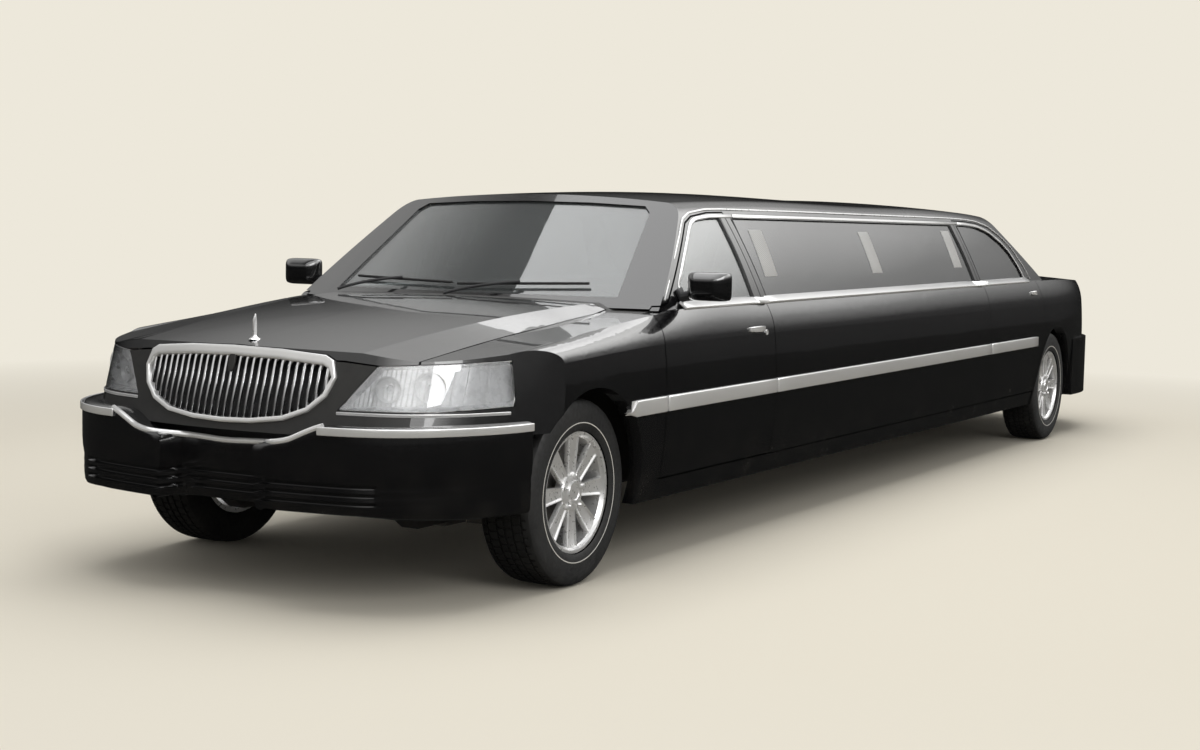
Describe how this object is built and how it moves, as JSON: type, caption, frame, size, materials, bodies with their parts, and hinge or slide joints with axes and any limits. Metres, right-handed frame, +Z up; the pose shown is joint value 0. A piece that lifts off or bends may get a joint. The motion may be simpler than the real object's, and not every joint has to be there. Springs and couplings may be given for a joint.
{
  "type": "stretch limousine",
  "caption": "Long black stretch limousine with hinged doors, hood and trunk lid, steered front wheels and free-rolling wheels, long side window and bright grille.",
  "frame": {"origin": "on the ground under the middle of the overall box", "axes": "+X to the car's left, -Y is the front, +Y the rear, +Z up"},
  "size_m": [2.25, 8.516, 1.5002],
  "materials": {
    "body_paint": "gloss",
    "windshield_glass": "clear",
    "dark_glass": "tinted",
    "chrome": "polished",
    "lamp_clear": "clear",
    "lamp_red": "gloss",
    "tyre": "matte",
    "alloy": "machined",
    "frame_paint": "satin",
    "cast_iron": "cast",
    "exhaust_steel": "satin",
    "interior_plastic": "grained",
    "leather": "satin",
    "floor_carpet": "carpet",
    "partition_trim": "lacquered"
  },
  "bodies": {
    "body": {"side_glass": "dark_glass", "roof": "body_paint", "windshield": "windshield_glass", "rear_window": "dark_glass", "stretch_sides": "body_paint", "sills": "body_paint", "front_fenders": "body_paint", "headlamps": "lamp_clear", "grille": "chrome", "front_bumper": "body_paint", "rear_bumper": "body_paint", "quarter_panels": "body_paint", "tail_panel": "body_paint", "tail_lamps": "lamp_red", "front_structure": "frame_paint", "floor_pan": "floor_carpet", "frame_rails": "frame_paint", "crossmembers": "frame_paint", "front_suspension": "cast_iron", "rear_axle": "cast_iron", "engine_block": "cast_iron", "exhaust": "exhaust_steel", "dashboard": "interior_plastic", "steering_wheel": "interior_plastic", "front_seats": "leather", "cabin_seats": "leather", "partition": "partition_trim", "door_frames": "body_paint"},
    "hood_body": {"hood": "body_paint"},
    "trunk_lid_body": {"trunk_lid": "body_paint"},
    "front_door_left_body": {"front_door_left": "body_paint", "front_door_glass_left": "windshield_glass", "mirror_left": "body_paint"},
    "front_door_right_body": {"front_door_right": "body_paint", "front_door_glass_right": "windshield_glass", "mirror_right": "body_paint"},
    "rear_door_left_body": {"rear_door_left": "body_paint", "rear_door_glass_left": "dark_glass"},
    "rear_door_right_body": {"rear_door_right": "body_paint", "rear_door_glass_right": "dark_glass"},
    "knuckle_left_body": {"knuckle_left": "cast_iron"},
    "knuckle_right_body": {"knuckle_right": "cast_iron"},
    "wheel_front_left_body": {"wheel_front_left": "alloy", "tyre_front_left": "tyre"},
    "wheel_front_right_body": {"wheel_front_right": "alloy", "tyre_front_right": "tyre"},
    "wheel_rear_left_body": {"wheel_rear_left": "alloy", "tyre_rear_left": "tyre"},
    "wheel_rear_right_body": {"wheel_rear_right": "alloy", "tyre_rear_right": "tyre"}
  },
  "joints": [
    {"name": "front_door_left_hinge", "type": "hinge", "parent": "body", "child": "front_door_left_body", "pos_m": [0.984, -2.7, 0.65], "axis": [0, 0, -1], "range_deg": [0, 65]},
    {"name": "rear_door_left_hinge", "type": "hinge", "parent": "body", "child": "rear_door_left_body", "pos_m": [0.984, 1.39, 0.65], "axis": [0, 0, -1], "range_deg": [0, 65]},
    {"name": "front_door_right_hinge", "type": "hinge", "parent": "body", "child": "front_door_right_body", "pos_m": [-0.984, -2.7, 0.65], "axis": [0, 0, 1], "range_deg": [0, 65]},
    {"name": "rear_door_right_hinge", "type": "hinge", "parent": "body", "child": "rear_door_right_body", "pos_m": [-0.984, 1.39, 0.65], "axis": [0, 0, 1], "range_deg": [0, 65]},
    {"name": "hood_hinge", "type": "hinge", "parent": "body", "child": "hood_body", "pos_m": [0, -2.689, 1.022], "axis": [-1, 0, 0], "range_deg": [0, 50]},
    {"name": "trunk_lid_hinge", "type": "hinge", "parent": "body", "child": "trunk_lid_body", "pos_m": [0, 3.038, 1.068], "axis": [1, 0, 0], "range_deg": [0, 70]},
    {"name": "steer_left", "type": "hinge", "parent": "body", "child": "knuckle_left_body", "pos_m": [0.745, -3.25, 0.35], "axis": [0, 0, 1], "range_deg": [-30, 30]},
    {"name": "steer_right", "type": "hinge", "parent": "body", "child": "knuckle_right_body", "pos_m": [-0.745, -3.25, 0.35], "axis": [0, 0, 1], "range_deg": [-30, 30]},
    {"name": "spin_front_left", "type": "hinge", "parent": "knuckle_left_body", "child": "wheel_front_left_body", "pos_m": [0.805, -3.25, 0.35], "axis": [1, 0, 0], "continuous": true},
    {"name": "spin_rear_left", "type": "hinge", "parent": "body", "child": "wheel_rear_left_body", "pos_m": [0.833, 2.788, 0.35], "axis": [1, 0, 0], "continuous": true},
    {"name": "spin_front_right", "type": "hinge", "parent": "knuckle_right_body", "child": "wheel_front_right_body", "pos_m": [-0.805, -3.25, 0.35], "axis": [1, 0, 0], "continuous": true},
    {"name": "spin_rear_right", "type": "hinge", "parent": "body", "child": "wheel_rear_right_body", "pos_m": [-0.833, 2.788, 0.35], "axis": [1, 0, 0], "continuous": true}
  ],
  "couplings": [
    {"joint": "steer_right", "follows": "steer_left", "ratio": 1}
  ]
}
